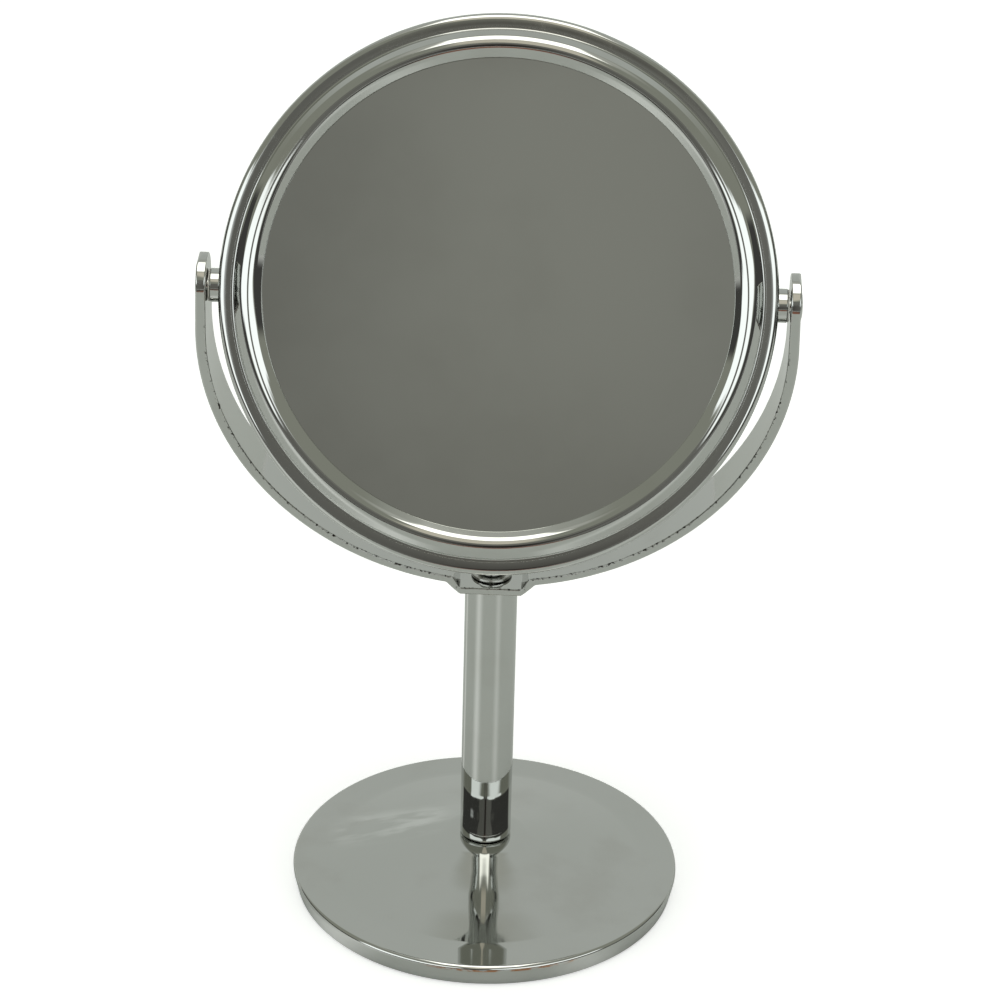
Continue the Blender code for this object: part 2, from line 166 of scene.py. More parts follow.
# Floor, in metres. Reflections see a dark table beyond TABLE_START and brighter lamp pools, given
# as azimuth range and soft edge in degrees, and strength.
FLOOR_HALF_SIZE = 4.0
TABLE_START = (-0.85, -0.95)
LAMP_POOLS = [(-129, -119, 8, 0.35), (-60, -40, 28, 0.36), (28, 44, 22, 0.2)]
FLOOR_GLOW = 0.57
FLOOR_ROUGHNESS = 0.9

# Looks: how far a mark changes the colour, how much it roughens, and how bright the lamps are.
SMUDGE_TINT = 0.5
RUBBED_ROUGHNESS = 0.025
FILM_STRENGTH = 0.8
FILM_ROUGHNESS = 0.22
BARE_ROUGHNESS = 0.55
MARKS_ROUGHNESS = 0.08
BOARD_BRIGHTNESS = 1.75
SOFT_BOX_BRIGHTNESS = 2.6

# Colours: linear red, green and blue.
CHROME_DARKER = (0.535, 0.55, 0.525)
CHROME_LIGHTER = (0.585, 0.59, 0.575)
CHROME_SMUDGED = (0.5, 0.5, 0.475)
DRIED_FILM = (0.76, 0.77, 0.755)
PAINTED_REFLECTION_ORANGE = (0.42, 0.17, 0.06)
BARE_SPOT = (0.035, 0.03, 0.025)
GLASS_CLEAR = (0.78, 0.8, 0.765)
GLASS_HAZY = (0.72, 0.735, 0.7)
ZINC = (0.47, 0.47, 0.45)
# Orange of the painted reflection under the base's front rim.
ZINC_STAINED = (0.3, 0.29, 0.27)
BRASS = (0.7, 0.53, 0.25)
BRASS_TARNISHED = (0.42, 0.28, 0.12)
IRON_PAINT = (0.06, 0.06, 0.058)
IRON_RUST = (0.2, 0.09, 0.045)
FOAM = (0.022, 0.022, 0.023)
FOAM_DUST = (0.075, 0.072, 0.068)
CARD_DARK = (0.21, 0.185, 0.15)
CARD_LIGHT = (0.42, 0.385, 0.32)
NYLON = (0.74, 0.73, 0.69)
NYLON_YELLOWED = (0.64, 0.61, 0.52)
ROOM = (0.32, 0.33, 0.28)
BACK_WALL = (0.56, 0.585, 0.55)
CEILING = (0.56, 0.57, 0.52)
SIDE_TABLES = (0.07, 0.07, 0.066)
BOARDS = (0.96, 1.0, 1.0)
PERSON_LOW = (0.035, 0.028, 0.026)
PERSON_HIGH = (0.235, 0.236, 0.213)
PERSON_TOP = (0.13, 0.125, 0.11)
PERSON_RIGHT = (0.19, 0.19, 0.175)
PERSON_LEFT = (0.17, 0.17, 0.155)
CREAM_WALL = (0.8, 0.75, 0.63)
SOFT_BOX = (1.0, 0.99, 0.93)
BELOW_HORIZON = (0.6, 0.61, 0.58)
PLAIN_WHITE = (1.0, 1.0, 1.0)
FLOOR_PALE = (0.7, 0.722, 0.715)
TABLE_DARK = (0.06, 0.055, 0.05)
TABLE_WARM = (0.34, 0.13, 0.08)

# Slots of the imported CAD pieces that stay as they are, by node.
CAD_SLOTS = {
    "weight_iron": ("base_weight",),
    "pad_foam": ("base_pad", "rear_foam_ring"),
    "fastener_steel": ("base_screw", "base_lock_washer", "base_washer", "column_foot_plug",
                       "column_top_plug"),
    "nut_brass": ("pivot_nut_left", "pivot_nut_right"),
    "card": ("front_backing_card",),
    "white_plastic": ("core_ring", "pivot_washer_left", "pivot_washer_right"),
}

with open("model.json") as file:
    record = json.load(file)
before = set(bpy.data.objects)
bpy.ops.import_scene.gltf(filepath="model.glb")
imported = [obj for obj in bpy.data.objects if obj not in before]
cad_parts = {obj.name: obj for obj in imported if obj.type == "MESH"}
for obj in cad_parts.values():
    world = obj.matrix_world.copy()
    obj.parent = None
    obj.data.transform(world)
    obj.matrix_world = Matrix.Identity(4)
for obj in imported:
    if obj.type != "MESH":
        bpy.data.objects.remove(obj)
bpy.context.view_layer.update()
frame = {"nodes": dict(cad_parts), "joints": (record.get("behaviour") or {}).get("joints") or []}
PIVOT_HEIGHT = frame["joints"][0]["pos_m"][2] / MM


def cad_box(node):
    """A node's lowest and highest corner, in millimetres."""
    low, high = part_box(node)
    return low / MM, high / MM


# Mesh helpers


def arc(centre, radius, angles, steps):
    """Points of a circular arc between two angles in degrees."""
    start, end = angles
    turns = [math.radians(start + (end - start) * i / steps) for i in range(steps + 1)]
    return [(centre[0] + radius * math.cos(a), centre[1] + radius * math.sin(a)) for a in turns]


def dome(radius, low, high, start, steps):
    """Points up the side of a low dome, from an angle in degrees to just short of its crown."""
    turns = [math.radians(start + (90 - start) * i / steps) for i in range(steps)]
    return [(radius * math.cos(a), low + (high - low) * math.sin(a)) for a in turns]


def fillet(before, corner, after, radius, steps=ROUNDING_STEPS):
    """The arc that replaces one corner of an outline."""
    corner = Vector(corner)
    one = (Vector(before) - corner).normalized()
    two = (Vector(after) - corner).normalized()
    half = one.angle(two) / 2
    reach = radius / math.tan(half)
    centre = corner + (one + two).normalized() * radius / math.sin(half)
    start = corner + one * reach - centre
    end = corner + two * reach - centre
    first = math.atan2(start.y, start.x)
    turn = (math.atan2(end.y, end.x) - first + math.pi) % (2 * math.pi) - math.pi
    return [(centre.x + radius * math.cos(first + turn * k / steps),
             centre.y + radius * math.sin(first + turn * k / steps)) for k in range(steps + 1)]


def rounded(corners):
    """An outline from (x, y, radius) corners, with each corner rounded by its radius."""
    result = []
    for i, (x, y, radius) in enumerate(corners):
        if radius == 0:
            result.append((x, y))
        else:
            after = corners[(i + 1) % len(corners)]
            result += fillet(corners[i - 1][:2], (x, y), after[:2], radius)
    return result


def new_object(name, builder):
    """A smooth-shaded object from a mesh being built, with its sharp edges marked."""
    bmesh.ops.remove_doubles(builder, verts=builder.verts, dist=MERGE_DISTANCE)
    bmesh.ops.recalc_face_normals(builder, faces=builder.faces)
    mesh = bpy.data.meshes.new(name)
    builder.to_mesh(mesh)
    builder.free()
    mesh.shade_smooth()
    mesh.set_sharp_from_angle(angle=SHARP_ANGLE)
    obj = bpy.data.objects.new(name, mesh)
    bpy.context.scene.collection.objects.link(obj)
    return obj


def weigh_normals(obj):
    """Keeps reflections straight on wide faces that run into small rounded edges.

    This comes after every cut, because a cut would see the changed normals.
    """
    step = obj.modifiers.new("weighted_normals", "WEIGHTED_NORMAL")
    step.mode = "FACE_AREA"
    step.weight = NORMAL_WEIGHT
    step.keep_sharp = True


def spun(name, profile, steps=SMALL_STEPS):
    """Spins a closed outline of (radius, height) points once round the Z axis."""
    builder = bmesh.new()
    points = [builder.verts.new((r * MM, 0.0, z * MM)) for r, z in profile]
    edges = []
    for first, second in zip(points, points[1:] + points[:1]):
        if first.co.x > ON_AXIS or second.co.x > ON_AXIS:
            edges.append(builder.edges.new((first, second)))
    bmesh.ops.spin(
        builder, geom=points + edges, cent=(0, 0, 0), axis=(0, 0, 1), angle=2 * math.pi,
        steps=steps, use_merge=True, use_duplicate=False,
    )
    return new_object(name, builder)


def turned(name, profile, steps=SMALL_STEPS):
    """A spun piece that is shown as it is."""
    obj = spun(name, profile, steps)
    weigh_normals(obj)
    return obj


def cylinder(name, radius, low, high):
    """A plain cylinder about the Z axis, for cutting holes."""
    return spun(name, [(0, low), (radius, low), (radius, high), (0, high)])


def cut(obj, tool):
    """Cuts a tool out of a piece whose normals are not weighted yet, and removes the tool."""
    step = obj.modifiers.new("cut_" + tool.name, "BOOLEAN")
    step.operation = "DIFFERENCE"
    step.solver = "EXACT"
    step.object = tool
    graph = bpy.context.evaluated_depsgraph_get()
    mesh = bpy.data.meshes.new_from_object(obj.evaluated_get(graph))
    obj.modifiers.clear()
    obj.data = mesh
    bpy.data.objects.remove(tool)


def at_pivot(turn):
    """A turn about the origin, moved up to the middle of the pivot axis."""
    return Matrix.Translation((0, 0, PIVOT_HEIGHT * MM)) @ turn


def head_place():
    """Turns a piece modelled about the Z axis so that its +Z is the way the plain mirror faces."""
    return at_pivot(Matrix.Rotation(math.pi / 2 - HEAD_TILT, 4, "X"))


def pivot_place(side):
    """Turns a piece modelled about the Z axis so that its +Z runs outwards along the pivot axis."""
    return at_pivot(Matrix.Rotation(side * math.pi / 2, 4, "Y"))


def finish_piece(obj, body, node, look, placed=None):
    """Puts a piece in place, gives it its look, hangs it on its body and hides the CAD node it stands
    for.
    """
    if placed is not None:
        obj.data.transform(placed)
    obj.data.materials.clear()
    obj.data.materials.append(look)
    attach(obj, body)
    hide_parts(node)


# Stand


def smooth_line(points, steps=ROUNDING_STEPS):
    """A smooth curve through points whose first coordinate grows, as a list of denser points.

    Between two points it is the cubic that has their heights and the slopes there.
    """
    result = []
    slopes = []
    for i in range(len(points)):
        before = points[max(0, i - 1)]
        after = points[min(len(points) - 1, i + 1)]
        slopes.append((after[1] - before[1]) / (after[0] - before[0]))
    for i in range(len(points) - 1):
        (x0, y0), (x1, y1) = points[i], points[i + 1]
        width = x1 - x0
        for k in range(steps):
            t = k / steps
            heights = y0 * (2 * t ** 3 - 3 * t ** 2 + 1) + y1 * (3 * t ** 2 - 2 * t ** 3)
            bends = slopes[i] * (t ** 3 - 2 * t ** 2 + t) + slopes[i + 1] * (t ** 3 - t ** 2)
            result.append((x0 + width * t, heights + width * bends))
    result.append(points[-1])
    return result


def base_shell():
    """Pressed shell with a flat seat, a hollow-sided cone, a rim band and a tapered side."""
    low, high = cad_box("base_shell")
    radius = high.x
    foot = radius - SIDE_TAPER
    seat = CONE[0][1]
    rim = (radius, RIM_HEIGHT)
    cone = smooth_line(CONE)
    # The blend into the rim band takes the place of the cone's last two points.
    corner = fillet(cone[-3], cone[-1], rim, RIM_BLEND_RADIUS, steps=12)
    edge = fillet(corner[-1], rim, (foot, low.z), RIM_ROUNDING, steps=10)
    under = [(r, z - SHELL_THICKNESS) for r, z in reversed(CONE)]
    inside, inside_height = SIDE_INSIDE_CORNER
    profile = [
        (SEAT_HOLE_RADIUS, seat), *cone[:-2], *corner, *edge,
        (foot, low.z), (foot - SHELL_THICKNESS, low.z), (radius - inside, inside_height),
        (foot - SHELL_THICKNESS, RIM_HEIGHT - SHELL_THICKNESS), *under,
        (SEAT_HOLE_RADIUS, seat - SHELL_THICKNESS),
    ]
    return turned("base_shell_visual", profile, RING_STEPS)


def column_tube():
    """The outside of the tube; its ends sink a little into what they touch."""
    low, high = cad_box("column_tube")
    bottom = low.z - COLUMN_SINK
    top = high.z + COLUMN_SINK
    bore = high.x - COLUMN_WALL
    return turned("column_tube_visual", rounded([
        (bore, bottom, 0), (high.x, bottom, COLUMN_FOOT_ROUNDING),
        (high.x, top, COLUMN_TOP_ROUNDING), (bore, top, 0),
    ]))


def ramp(t, soft=0.15):
    """Runs from 0 to 1 in a straight line with short curved ends."""
    t = min(1.0, max(0.0, t))
    slope = 1 / (1 - soft)
    if t < soft:
        return slope * t * t / (2 * soft)
    if t > 1 - soft:
        return 1 - slope * (1 - t) ** 2 / (2 * soft)
    return slope * (t - soft / 2)


def bow_point(radii, flat, limits, angle):
    """A point of the yoke's lower half, stepped down to the hub's flat near the middle."""
    x = radii[0] * math.cos(angle)
    z = PIVOT_HEIGHT - YOKE_CENTRE_DROP - radii[1] * math.sin(angle)
    share = ramp((limits[1] - abs(x)) / (limits[1] - limits[0]))
    return Vector((x, 0, z + (flat - z) * share))


def ear_outside():
    """How far from the column's axis the outer face of an ear lies."""
    return cad_box("yoke")[1].x - EAR_SINK


def right_ear_stations():
    """Inner point, outer point and half width of the right ear, from its rounded top down."""
    half = cad_box("yoke")[1].y
    centre = PIVOT_HEIGHT + EAR_RISE
    corner = centre + half - EAR_TOP_ROUNDING
    result = []
    for i in range(EAR_STEPS + 1):
        turn = math.radians(EAR_ARC_START - EAR_ARC_START * i / EAR_STEPS)
        z = centre + half * math.sin(turn)
        lost = 0.0
        if z > corner:
            lost = EAR_TOP_ROUNDING - math.sqrt(EAR_TOP_ROUNDING ** 2 - (z - corner) ** 2)
        inner = Vector((YOKE_INNER[0], 0, z))
        outer = Vector((ear_outside() - lost, 0, z))
        result.append((inner, outer, half * math.cos(turn)))
    return result


def yoke_stations():
    """Inner point, outer point and half width of the bar, from the right ear round to the left."""
    half = cad_box("yoke")[1].y
    right = right_ear_stations()
    left = [(Vector((-a.x, 0, a.z)), Vector((-b.x, 0, b.z)), w) for a, b, w in reversed(right)]
    angles = [math.pi * i / BOW_STEPS for i in range(BOW_STEPS + 1)]
    angles += [math.pi / 2 + HUB_FINE_ANGLE * i for i in range(-HUB_FINE_STEPS, HUB_FINE_STEPS + 1)]
    bow = []
    for angle in sorted(set(round(a, 6) for a in angles)):
        inner = bow_point(YOKE_INNER, HUB_SEAT, HUB_INNER_RAMP, angle)
        outer = bow_point(YOKE_OUTER, HUB_BOTTOM, HUB_OUTER_RAMP, angle)
        bow.append((inner, outer, half))
    return right + bow + left


def bar_section(inner, outer, half):
    """The rounded rectangle that the yoke's bar has at one station."""
    thick = (outer - inner).length
    across = (outer - inner).normalized()
    edge = min(YOKE_EDGE, YOKE_EDGE_LIMIT * half)
    corners = [(0, -half, edge), (thick, -half, edge), (thick, half, edge), (0, half, edge)]
    return [inner + across * u + Vector((0, v, 0)) for u, v in rounded(corners)]


def yoke():
    """Flat bar bent to a U, bored for the pivot pins and drilled for the screw."""
    builder = bmesh.new()
    loops = []
    for inner, outer, half in yoke_stations():
        loops.append([builder.verts.new(p * MM) for p in bar_section(inner, outer, half)])
    count = len(loops[0])
    for one, two in zip(loops, loops[1:]):
        for i in range(count):
            k = (i + 1) % count
            builder.faces.new((one[i], one[k], two[k], two[i]))
    builder.faces.new(loops[0])
    builder.faces.new(loops[-1])
    obj = new_object("yoke_visual", builder)
    bore = cylinder("bore", PIVOT_BORE_RADIUS, -PIVOT_BORE_REACH, PIVOT_BORE_REACH)
    bore.data.transform(pivot_place(1))
    cut(obj, bore)
    cut(obj, cylinder("hole", HUB_HOLE_RADIUS, *HUB_HOLE_HEIGHTS))
    weigh_normals(obj)
    return obj


def yoke_screw():
    """Domed screw with a cross recess."""
    low, high = cad_box("yoke_screw")
    radius, crown = high.x, high.z
    under = crown - SCREW_HEAD_HEIGHT
    tip_in, tip_up = SCREW_TIP_BEVEL
    screw = spun("yoke_screw_visual", [
        (0, low.z), (SCREW_SHANK_RADIUS - tip_in, low.z), (SCREW_SHANK_RADIUS, low.z + tip_up),
        (SCREW_SHANK_RADIUS, under), (radius - SCREW_HEAD_BEVEL, under),
        (radius, under + SCREW_HEAD_BEVEL),
        *dome(radius, crown - SCREW_DOME_HEIGHT, crown, 0, SCREW_DOME_STEPS), (0, crown),
    ])
    length, width, depth = SCREW_RECESS
    for size in ((length, width, depth, 1), (width, length, depth, 1)):
        builder = bmesh.new()
        bmesh.ops.create_cube(builder, size=MM, matrix=Matrix.Diagonal(size))
        tool = new_object("recess", builder)
        tool.data.transform(Matrix.Translation((0, 0, crown * MM)))
        cut(screw, tool)
    weigh_normals(screw)
    return screw


def yoke_washer():
    """Flat washer with worn edges."""
    low, high = cad_box("yoke_washer")
    bottom_edge, top_edge = WASHER_EDGES
    return turned("yoke_washer_visual", rounded([
        (HUB_HOLE_RADIUS, low.z, 0), (high.x, low.z, bottom_edge), (high.x, high.z, top_edge),
        (HUB_HOLE_RADIUS, high.z, 0),
    ]))


# Head


def head_hoop():
    """Outer ring with rounded edges and a groove inside."""
    outer = cad_box("head_hoop")[1].x
    half = HOOP_HALF_WIDTH
    lip = half - HOOP_LIP
    return turned("head_hoop_visual", rounded([
        (HOOP_GROOVE, lip, 0), (HOOP_INSIDE, lip, 0), (HOOP_INSIDE, half, HOOP_INSIDE_ROUNDING),
        (outer, half, HOOP_ROUNDING), (outer, -half, HOOP_ROUNDING),
        (HOOP_INSIDE, -half, HOOP_INSIDE_ROUNDING), (HOOP_INSIDE, -lip, 0), (HOOP_GROOVE, -lip, 0),
    ]), RING_STEPS)


def bezel(name, side):
    """Ring with an inner lip, a raised bead, a soft valley and a skirt; side is 1 or -1."""
    lip = (LIP_RADIUS, LIP_BACK)
    skirt_inside, skirt_outside = SKIRT_RADII
    bead = arc(BEAD_CENTRE, BEAD_RADIUS, BEAD_ANGLES, BEAD_STEPS)
    profile = [
        (LIP_BACK_RADIUS, LIP_BACK), lip,
        *fillet(lip, (LIP_RADIUS, LIP_TOP), bead[0], LIP_ROUNDING, steps=8), *bead,
        *arc(VALLEY_CENTRE, VALLEY_RADIUS, VALLEY_ANGLES, steps=10),
        (skirt_outside, SKIRT_TOP), (skirt_outside, SKIRT_BOTTOM), (skirt_inside, SKIRT_BOTTOM),
        (skirt_inside, SKIRT_INSIDE_TOP),
        *arc(BEAD_CENTRE, BEAD_RADIUS - BEZEL_THICKNESS, BEAD_INSIDE_ANGLES, steps=12),
    ]
    return turned(name, [(r, side * height) for r, height in profile], RING_STEPS)


def front_glass():
    """The plain mirror."""
    back, face = FRONT_GLASS_HEIGHTS
    back_edge, face_edge = FRONT_GLASS_EDGES
    return turned("front_glass_visual", rounded([
        (0, back, 0), (GLASS_RADIUS, back, back_edge), (GLASS_RADIUS, face, face_edge), (0, face, 0),
    ]), RING_STEPS)


def dish(edge):
    """A shallow bowl from the middle out to the edge's height."""
    radii = [GLASS_RADIUS * i / DISH_STEPS for i in range(DISH_STEPS + 1)]
    return [(r, edge + DISH_DEPTH * (1 - (r / GLASS_RADIUS) ** 2)) for r in radii]


def rear_glass():
    """The magnifying mirror, dished and facing the back."""
    face, back = REAR_GLASS_HEIGHTS
    return turned("rear_glass_visual", dish(face) + dish(back)[::-1], RING_STEPS)


def pivot_pin(name):
    """Pin with a low dome outside the ear, along its own +Z."""
    end = cad_box("pivot_pin_right")[1].x
    start = ear_outside()
    return turned(name, [
        (0, PIN_START), (PIN_RADIUS, PIN_START), (PIN_RADIUS, start), (PIN_HEAD_RADIUS, start),
        (PIN_HEAD_RADIUS, start + PIN_HEAD_WALL),
        *dome(PIN_DOME_RADIUS, start + PIN_DOME_RISE, end, PIN_DOME_START, PIN_DOME_STEPS), (0, end),
    ])


def pivot_spacer(name):
    """Plain cylinder between the hoop and the ear, along its own +Z."""
    low, high = cad_box("pivot_spacer_right")
    radius = high.z - PIVOT_HEIGHT
    start = low.x - SPACER_SINK_HOOP
    end = high.x + SPACER_SINK_EAR
    return turned(name, rounded([
        (PIVOT_BORE_RADIUS, start, 0), (radius, start, 0), (radius, end, SPACER_ROUNDING),
        (PIVOT_BORE_RADIUS, end, 0),
    ]))


# Looks


def new_look(name):
    """A new material with its node tree and its surface shader."""
    made = bpy.data.materials.new(name)
    made.use_nodes = True
    return made, made.node_tree, made.node_tree.nodes["Principled BSDF"]


def math_node(tree, operation, first, second=None, third=None):
    """One calculation on values that are either numbers or other nodes' outputs."""
    node = tree.nodes.new("ShaderNodeMath")
    node.operation = operation
    for socket, value in zip(node.inputs, (first, second, third)):
        if isinstance(value, (int, float)):
            socket.default_value = value
        elif value is not None:
            tree.links.new(value, socket)
    return node.outputs[0]


def product(tree, first, *others):
    """All the values multiplied together."""
    for other in others:
        first = math_node(tree, "MULTIPLY", first, other)
    return first


def line(tree, value, slope, start):
    """A value that is start at 0 and grows by the slope."""
    return math_node(tree, "MULTIPLY_ADD", value, slope, start)


def between(tree, share, low, high):
    """A value that runs from low to high as the share runs from 0 to 1."""
    return line(tree, share, high - low, low)


def distance(tree, value, centre):
    """How far a value is from its centre."""
    return math_node(tree, "ABSOLUTE", math_node(tree, "SUBTRACT", value, centre))


def smooth_step(tree, value, start, end):
    """Eases from 0 at the start to 1 at the end."""
    node = tree.nodes.new("ShaderNodeMapRange")
    node.interpolation_type = "SMOOTHSTEP"
    node.inputs["From Min"].default_value = start
    node.inputs["From Max"].default_value = end
    tree.links.new(value, node.inputs["Value"])
    return node.outputs["Result"]


def above(tree, value, limit, soft):
    """1 where a value is above the limit, easing from 0 over the soft range on each side."""
    return smooth_step(tree, math_node(tree, "SUBTRACT", value, limit), -soft, soft)


def below(tree, value, limit, soft):
    """1 where a value is below the limit, easing to 0 over the soft range on each side."""
    return smooth_step(tree, math_node(tree, "SUBTRACT", limit, value), -soft, soft)


def band(tree, value, low, high, soft):
    """1 between low and high, easing to 0 over the soft edge."""
    rise = smooth_step(tree, value, low - soft / 2, low + soft / 2)
    fall = smooth_step(tree, value, high + soft / 2, high - soft / 2)
    return product(tree, rise, fall)


def mix_colour(tree, share, first, second):
    """The first colour where the share is 0 and the second where it is 1."""
    node = tree.nodes.new("ShaderNodeMix")
    node.data_type = "RGBA"
    tree.links.new(share, node.inputs["Factor"])
    for socket, value in ((node.inputs["A"], first), (node.inputs["B"], second)):
        if isinstance(value, tuple):
            socket.default_value = (*value, 1)
        else:
            tree.links.new(value, socket)
    return node.outputs["Result"]


def scaled(colour, strength):
    """A colour made stronger or weaker."""
    return tuple(channel * strength for channel in colour)


def piece_point(tree, stretch=(1, 1, 1)):
    """The point on the piece in metres, stretched by axis."""
    where = tree.nodes.new("ShaderNodeTexCoord").outputs["Object"]
    if stretch == (1, 1, 1):
        return where
    node = tree.nodes.new("ShaderNodeVectorMath")
    node.operation = "MULTIPLY"
    node.inputs[1].default_value = stretch
    tree.links.new(where, node.inputs[0])
    return node.outputs[0]


def axes(tree):
    """The point on the piece as separate X, Y and Z values in metres."""
    node = tree.nodes.new("ShaderNodeSeparateXYZ")
    tree.links.new(piece_point(tree), node.inputs["Vector"])
    return node.outputs


def noise(tree, scale, detail=3.0, stretch=(1, 1, 1)):
    """Cloudy noise, with its scale in blobs per metre."""
    node = tree.nodes.new("ShaderNodeTexNoise")
    node.inputs["Scale"].default_value = scale
    node.inputs["Detail"].default_value = detail
    tree.links.new(piece_point(tree, stretch), node.inputs["Vector"])
    return node.outputs["Fac"]


def patches(tree, scale, detail, start, end, stretch=(1, 1, 1)):
    """Noise pushed towards 0 and 1, so that it makes patches with soft edges."""
    return smooth_step(tree, noise(tree, scale, detail, stretch), start, end)


def cells(tree, scale):
    """Distance from the nearest of many scattered points, for pores."""
    node = tree.nodes.new("ShaderNodeTexVoronoi")
    node.inputs["Scale"].default_value = scale
    tree.links.new(piece_point(tree), node.inputs["Vector"])
    return node.outputs["Distance"]


def surface(tree, shader, colour, rough, metallic=0):
    """Sets the shader's colour and roughness from nodes, and whether it is metal."""
    tree.links.new(colour, shader.inputs["Base Color"])
    tree.links.new(rough, shader.inputs["Roughness"])
    shader.inputs["Metallic"].default_value = metallic


def bump(tree, shader, height, depth):
    """Raises the surface by up to the depth, in millimetres."""
    node = tree.nodes.new("ShaderNodeBump")
    node.inputs["Strength"].default_value = 1.0
    node.inputs["Distance"].default_value = depth * MM
    tree.links.new(height, node.inputs["Height"])
    tree.links.new(node.outputs["Normal"], shader.inputs["Normal"])


def chrome(name="chrome", chips=None, film=None, rust_and_painted_reflection=None):
    """Bright plating with faint waves, hand smudges and rubbing marks.

    Chips, film and the last mask are functions that give a 0 to 1 mask for bare spots, for a pale
    dried film and for a painted orange reflection.
    """
    made, tree, shader = new_look(name)
    smudge = patches(tree, scale=42, detail=5, start=0.5, end=0.74)
    rubbed = patches(tree, scale=700, detail=3, start=0.45, end=0.8, stretch=(1, 1, 0.12))
    cloud = noise(tree, scale=17, detail=2)
    colour = mix_colour(tree, cloud, CHROME_DARKER, CHROME_LIGHTER)
    colour = mix_colour(tree, product(tree, smudge, SMUDGE_TINT), colour, CHROME_SMUDGED)
    rough = math_node(tree, "ADD", between(tree, smudge, low=0.03, high=0.1),
                      product(tree, rubbed, RUBBED_ROUGHNESS))
    if film is not None:
        dried = film(tree)
        colour = mix_colour(tree, dried, colour, DRIED_FILM)
        rough = math_node(tree, "MAXIMUM", rough, product(tree, dried, FILM_ROUGHNESS))
    # Paints an orange reflection where the last mask is 1.
    if rust_and_painted_reflection is not None:
        colour = mix_colour(tree, rust_and_painted_reflection(tree), colour, PAINTED_REFLECTION_ORANGE)
    if chips is not None:
        bare = chips(tree)
        colour = mix_colour(tree, bare, colour, BARE_SPOT)
        rough = math_node(tree, "MAXIMUM", rough, product(tree, bare, BARE_ROUGHNESS))
    surface(tree, shader, colour, rough, metallic=1)
    bump(tree, shader, noise(tree, scale=110, detail=2), depth=0.006)
    return made


def base_film(tree):
    """A wiped, cloudy streak on the back left of the base."""
    x, y = axes(tree)[:2]
    across = band(tree, x, low=-0.046, high=-0.014, soft=0.014)
    along = band(tree, y, low=0.003, high=0.018, soft=0.01)
    streaks = patches(tree, scale=75, detail=3, start=0.4, end=0.62, stretch=(0.7, 2.0, 1))
    return product(tree, across, along, streaks, FILM_STRENGTH)


def rim_painted_reflection(tree):
    """A broken line of painted orange reflection just under the front edge of the base."""
    x, y, z = axes(tree)
    spots = patches(tree, scale=260, detail=4, start=0.4, end=0.56, stretch=(1, 1, 3))
    across = band(tree, x, low=-0.013, high=0.03, soft=0.012)
    front = smooth_step(tree, y, start=-0.045, end=-0.052)
    level = band(tree, z, low=0.0058, high=0.0064, soft=0.0007)
    return product(tree, spots, across, front, level)


def yoke_chips(tree):
    """Small bare spots along the inner edges of the bent bar, thickest round the hub."""
    x, y, z = axes(tree)
    half = cad_box("yoke")[1].y * MM
    sideways = math_node(tree, "DIVIDE", x, YOKE_INNER[0] * MM)
    up = math_node(tree, "SUBTRACT", z, (PIVOT_HEIGHT - YOKE_CENTRE_DROP) * MM)
    up = math_node(tree, "DIVIDE", up, YOKE_INNER[1] * MM)
    # This is 1 all along the inner face of the bow.
    reach = math_node(tree, "ADD", product(tree, sideways, sideways), product(tree, up, up))
    reach = math_node(tree, "SQRT", reach)
    inner = smooth_step(tree, reach, start=1.01, end=1.005)
    at_hub = product(
        tree,
        smooth_step(tree, math_node(tree, "ABSOLUTE", x), start=11 * MM, end=9.5 * MM),
        smooth_step(tree, z, start=(HUB_SEAT - 0.7) * MM, end=(HUB_SEAT - 0.2) * MM),
    )
    inner = math_node(tree, "MAXIMUM", inner, at_hub)
    edge = smooth_step(tree, math_node(tree, "ABSOLUTE", y), start=half - 0.5 * MM,
                       end=half - 0.2 * MM)
    low = smooth_step(tree, up, start=0.25, end=-0.3)
    spots = patches(tree, scale=1000, detail=3, start=0.545, end=0.6)
    return product(tree, spots, inner, edge, low)


def mirror_glass():
    """Silvered glass: a slightly grey, very smooth reflection with a faint uneven haze."""
    made, tree, shader = new_look("mirror_glass")
    haze = patches(tree, scale=21, detail=4, start=0.4, end=0.75)
    wiped = patches(tree, scale=60, detail=4, start=0.5, end=0.8, stretch=(1, 0.35, 1))
    surface(tree, shader, mix_colour(tree, haze, GLASS_CLEAR, GLASS_HAZY),
            between(tree, wiped, low=0.012, high=0.05), metallic=1)
    bump(tree, shader, noise(tree, scale=9, detail=1), depth=0.004)
    return made


def fastener_steel():
    """Zinc-plated steel with turning marks."""
    made, tree, shader = new_look("fastener_steel")
    marks = noise(tree, scale=1500, detail=3, stretch=(1, 1, 3))
    stain = patches(tree, scale=260, detail=4, start=0.45, end=0.7)
    rough = math_node(tree, "ADD", between(tree, stain, low=0.1, high=0.24),
                      product(tree, marks, MARKS_ROUGHNESS))
    surface(tree, shader, mix_colour(tree, stain, ZINC, ZINC_STAINED), rough, metallic=1)
    bump(tree, shader, marks, depth=0.01)
    return made


def nut_brass():
    """Dull machined brass, browner where it has tarnished."""
    made, tree, shader = new_look("nut_brass")
    tarnish = patches(tree, scale=300, detail=5, start=0.4, end=0.7)
    surface(tree, shader, mix_colour(tree, tarnish, BRASS, BRASS_TARNISHED),
            between(tree, tarnish, low=0.2, high=0.45), metallic=1)
    bump(tree, shader, noise(tree, scale=1300, detail=2, stretch=(3, 1, 1)), depth=0.02)
    return made


def weight_iron():
    """Sand-cast iron under thin black paint, with rust coming through."""
    made, tree, shader = new_look("weight_iron")
    rust_and_painted_reflection = patches(tree, scale=90, detail=6, start=0.56, end=0.68)
    surface(tree, shader, mix_colour(tree, rust_and_painted_reflection, IRON_PAINT, IRON_RUST),
            between(tree, rust_and_painted_reflection, low=0.5, high=0.85))
    bump(tree, shader, noise(tree, scale=700, detail=6), depth=0.25)
    return made


